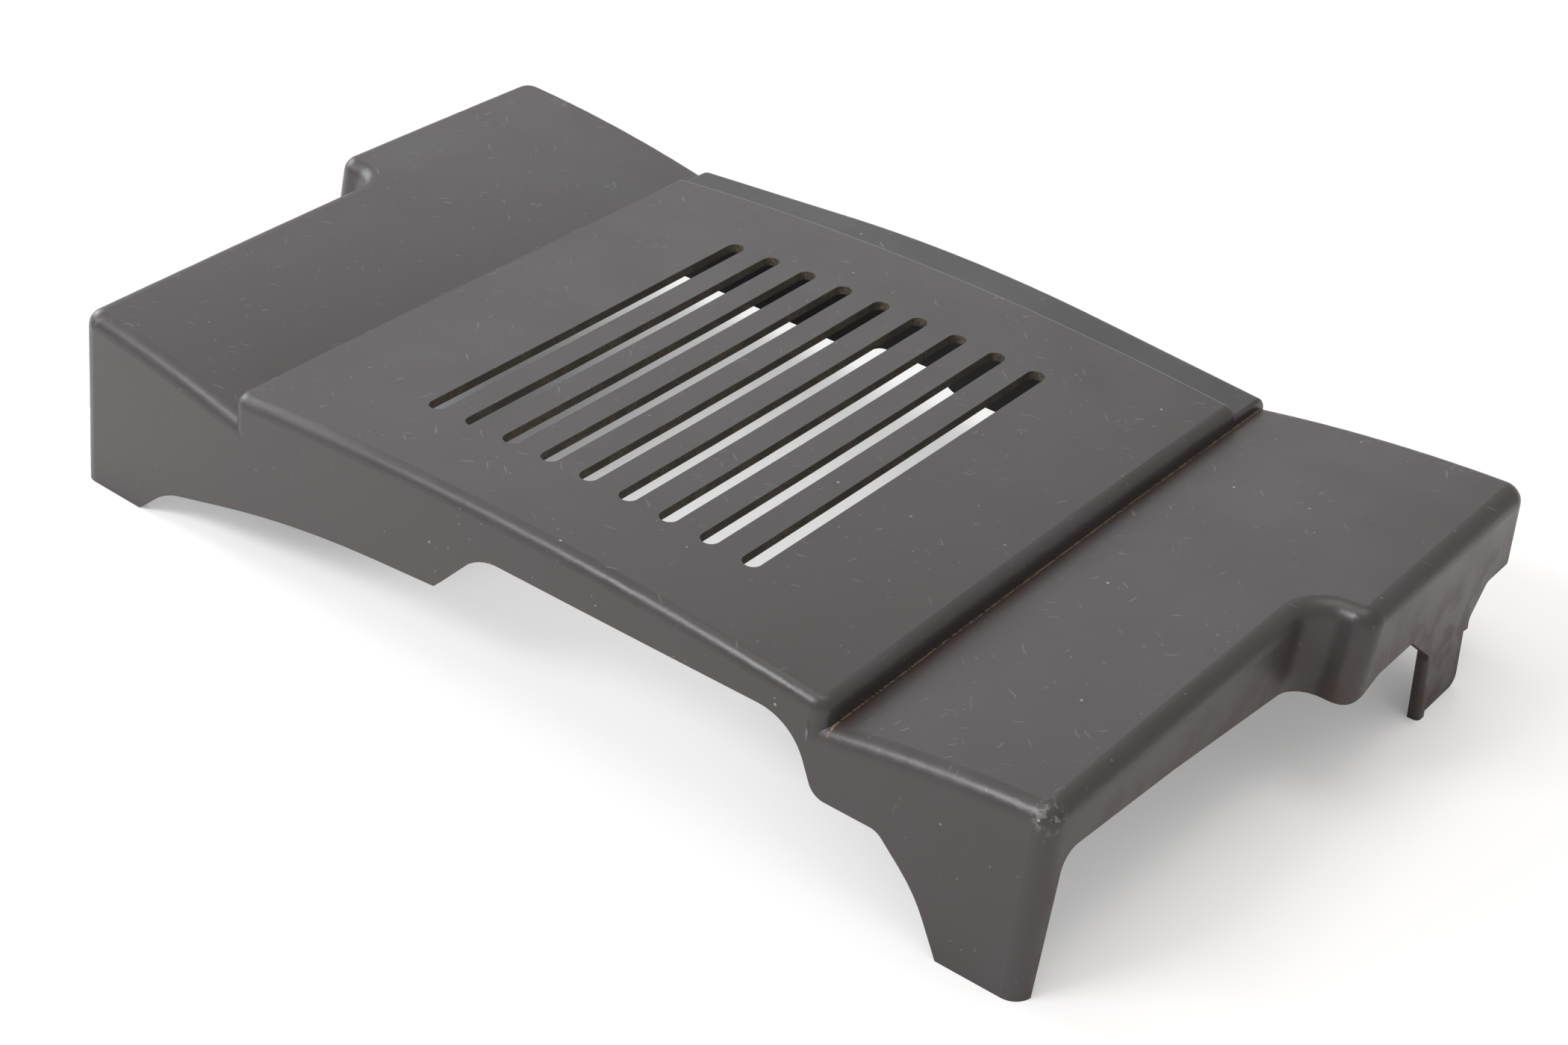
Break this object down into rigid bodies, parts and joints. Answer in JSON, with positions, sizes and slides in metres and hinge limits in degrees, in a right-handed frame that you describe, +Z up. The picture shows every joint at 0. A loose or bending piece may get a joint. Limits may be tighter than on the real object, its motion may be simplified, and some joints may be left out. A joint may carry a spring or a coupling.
{
  "type": "engine cover",
  "caption": "Shallow moulded plastic engine cover: a crowned shell with a raised middle panel with long vent slots, two side wings and skirts cut away into feet.",
  "frame": {"origin": "on the ground under the middle of the bounding box, with the cover standing on its feet", "axes": "+X along the cover's long direction to its right end, +Y from the slotted panel's front edge to the rear, +Z up"},
  "size_m": [0.5658, 0.3216, 0.0884],
  "materials": {
    "cover_plastic": "satin, finely grained moulded dark grey"
  },
  "bodies": {
    "root": {"engine_cover": "cover_plastic"}
  },
  "joints": []
}
